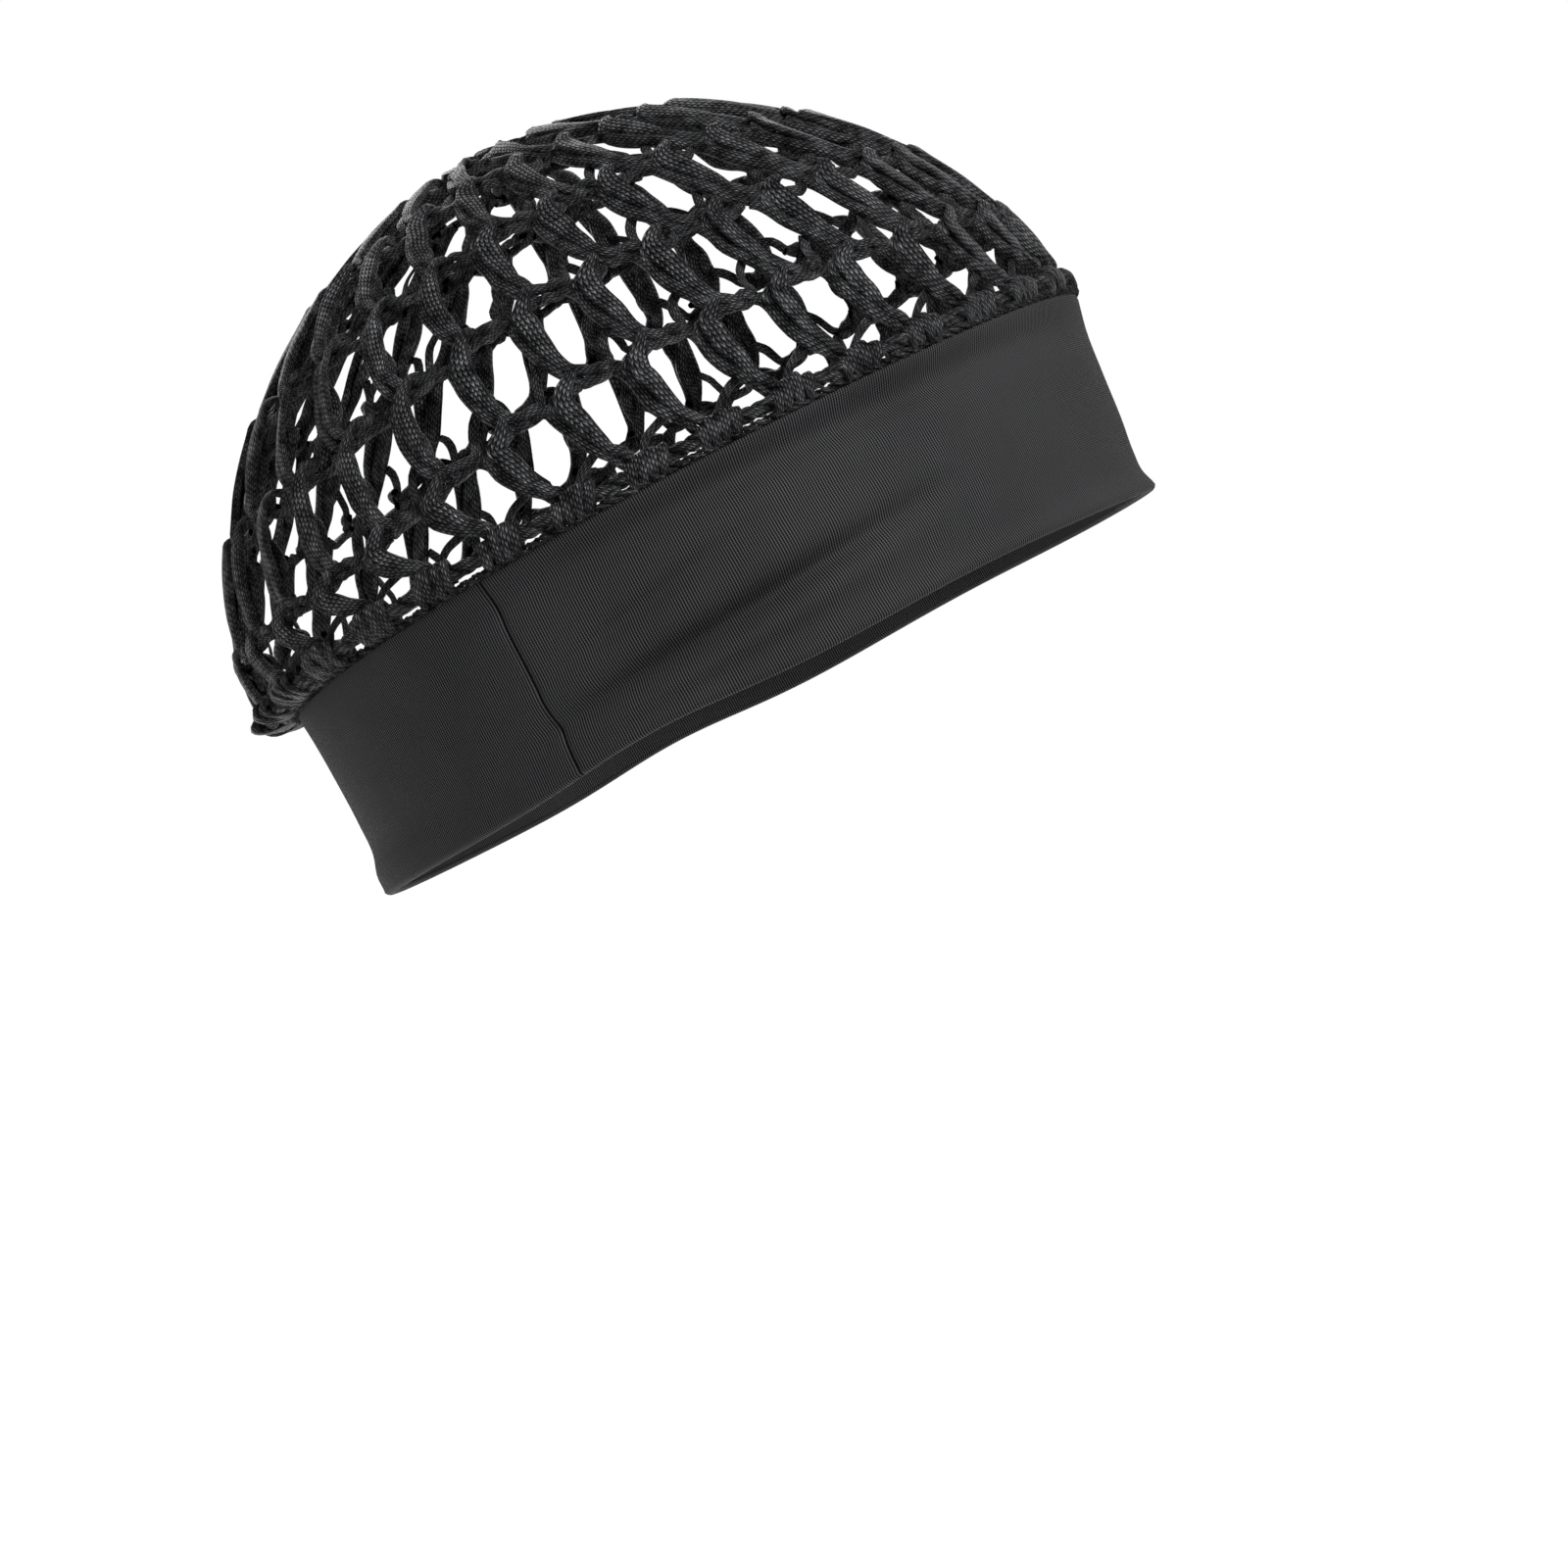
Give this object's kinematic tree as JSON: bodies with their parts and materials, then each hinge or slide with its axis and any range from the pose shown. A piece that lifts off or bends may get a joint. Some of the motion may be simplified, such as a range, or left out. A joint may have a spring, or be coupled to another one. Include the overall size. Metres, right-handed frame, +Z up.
{
  "type": "crocheted hairnet with a stretch band",
  "caption": "Open crocheted hairnet dome on a wide folded stretch band, in its worn form, open below for a head.",
  "frame": {"origin": "centre of the head hollow, level with the middle of the band's height, where a head sits", "axes": "+Z up, +X forward to the forehead side, +Y to the wearer's left; the cap leans back 28 degrees, front up"},
  "size_m": [0.1899, 0.156, 0.161],
  "materials": {
    "tape_yarn": "satin",
    "jersey": "matte"
  },
  "bodies": {
    "root": {"stretch_band": "jersey", "net_edging": "tape_yarn", "crochet_net": "tape_yarn"}
  },
  "joints": []
}
